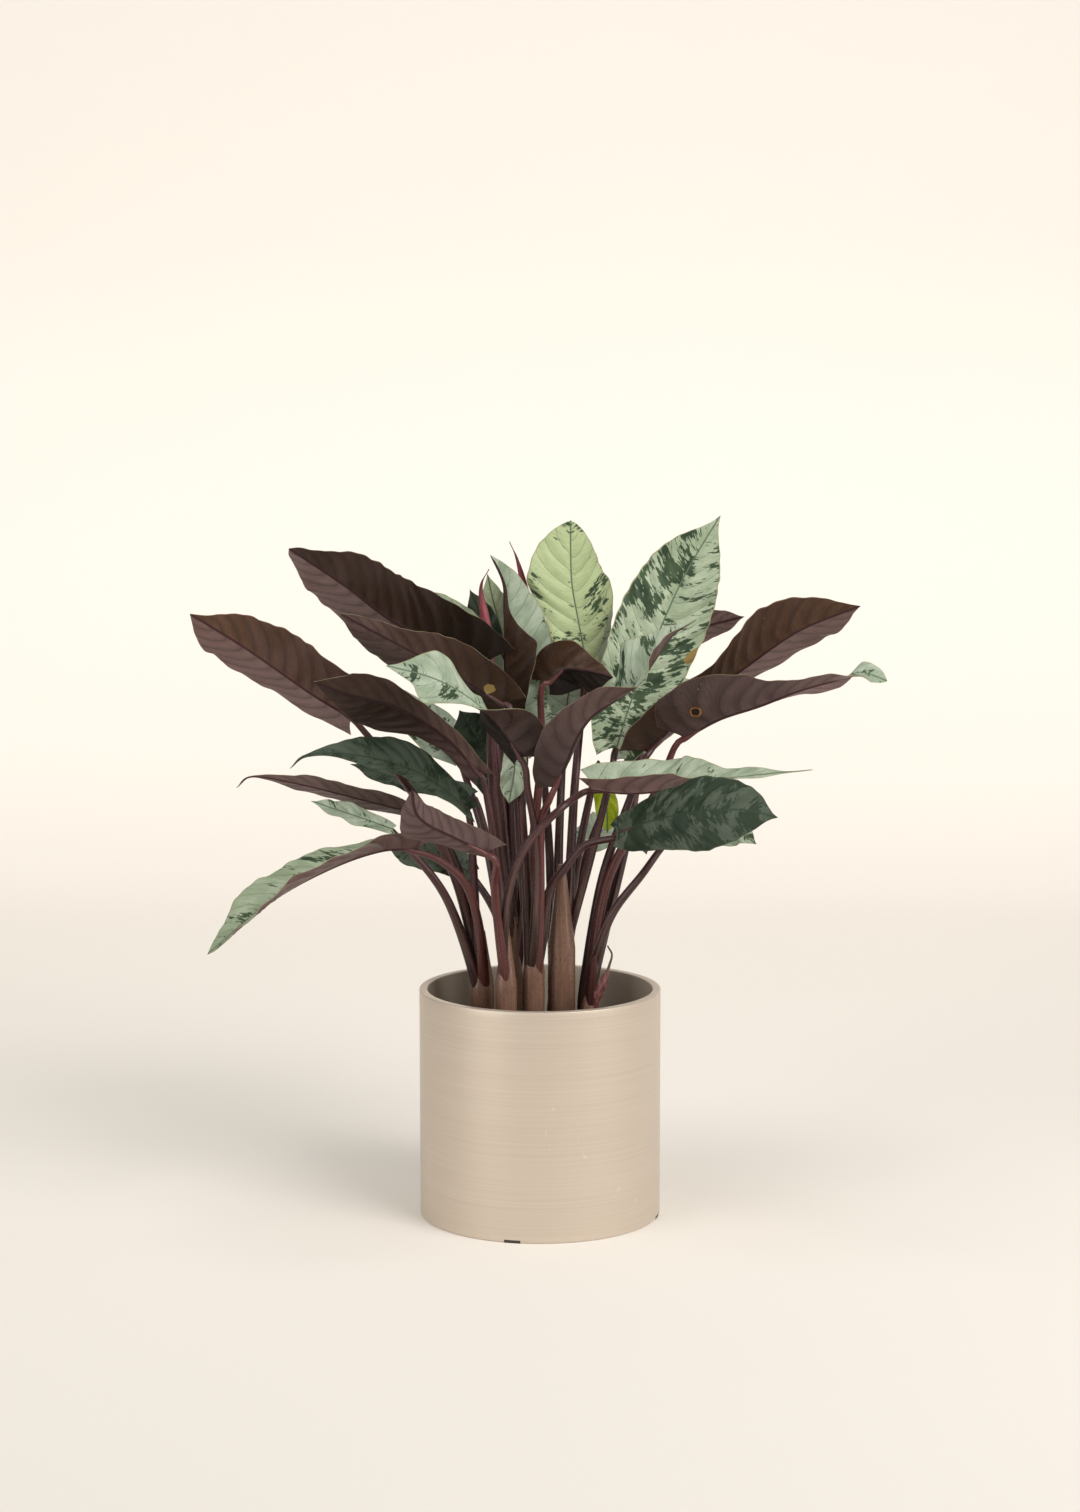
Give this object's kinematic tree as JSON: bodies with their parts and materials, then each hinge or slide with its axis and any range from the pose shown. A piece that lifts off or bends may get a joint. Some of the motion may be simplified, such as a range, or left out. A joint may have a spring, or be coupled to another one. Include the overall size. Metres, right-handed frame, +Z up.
{
  "type": "potted house plant",
  "caption": "House plant with narrow pointed silver-green leaves, purple-brown below, on dark red stalks, in a straight-sided pot with a brushed champagne finish.",
  "frame": {"origin": "centre of the pot's flat underside, on the surface that the pot stands on", "axes": "+Z up along the pot's axis, -Y towards the side seen in the picture, +X to that side's right"},
  "size_m": [0.5001, 0.3474, 0.5211],
  "materials": {
    "champagne": "fine horizontal brush lines, satin",
    "dark_pad": "matt",
    "soil_dark": "stands in for potting soil, crumbly and matt",
    "stalk_red": "stands in for living stalk, dark red-brown, waxy",
    "leaf_green": "stands in for living leaf, silver green with dark blotches above, purple brown below",
    "bud_red": "stands in for young rolled leaf, pink red",
    "dry_brown": "stands in for dried leaf, matt"
  },
  "bodies": {
    "root": {"pot": "champagne", "pad_1": "dark_pad", "pad_2": "dark_pad", "pad_3": "dark_pad", "pad_4": "dark_pad", "soil": "soil_dark", "shoot_left": "stalk_red", "shoot_front": "stalk_red", "shoot_centre": "stalk_red", "shoot_broad": "stalk_red", "shoot_right": "stalk_red", "shoot_back_left": "stalk_red", "shoot_back_right": "stalk_red", "blade_far_left": "leaf_green", "blade_top_left": "leaf_green", "blade_strip_behind": "leaf_green", "blade_mid_upper_left": "leaf_green", "blade_left_dark": "leaf_green", "blade_centre_left": "leaf_green", "blade_centre_right": "leaf_green", "blade_centre_brown": "leaf_green", "blade_upright_silver": "leaf_green", "blade_back_dark": "leaf_green", "blade_back_pale": "leaf_green", "blade_top_centre": "leaf_green", "blade_tall_right": "leaf_green", "blade_small_behind": "leaf_green", "blade_right_brown": "leaf_green", "blade_right_grey": "leaf_green", "blade_right_long": "leaf_green", "blade_lower_right": "leaf_green", "blade_lower_right_pale": "leaf_green", "blade_left_green": "leaf_green", "blade_left_behind": "leaf_green", "blade_front_left": "leaf_green", "blade_long_lower_left": "leaf_green", "blade_thin_purple": "leaf_green", "blade_small_green": "leaf_green", "blade_lower_green": "leaf_green", "blade_dark_behind": "leaf_green", "blade_small_hanging": "leaf_green", "blade_lime": "leaf_green", "blade_rear_left": "leaf_green", "blade_rear_centre": "leaf_green", "blade_rear_right": "leaf_green", "blade_rear_low": "leaf_green", "blade_rear_upright": "leaf_green", "bud_red": "bud_red", "bud_pink": "bud_red", "dry_strand": "dry_brown"}
  },
  "joints": []
}
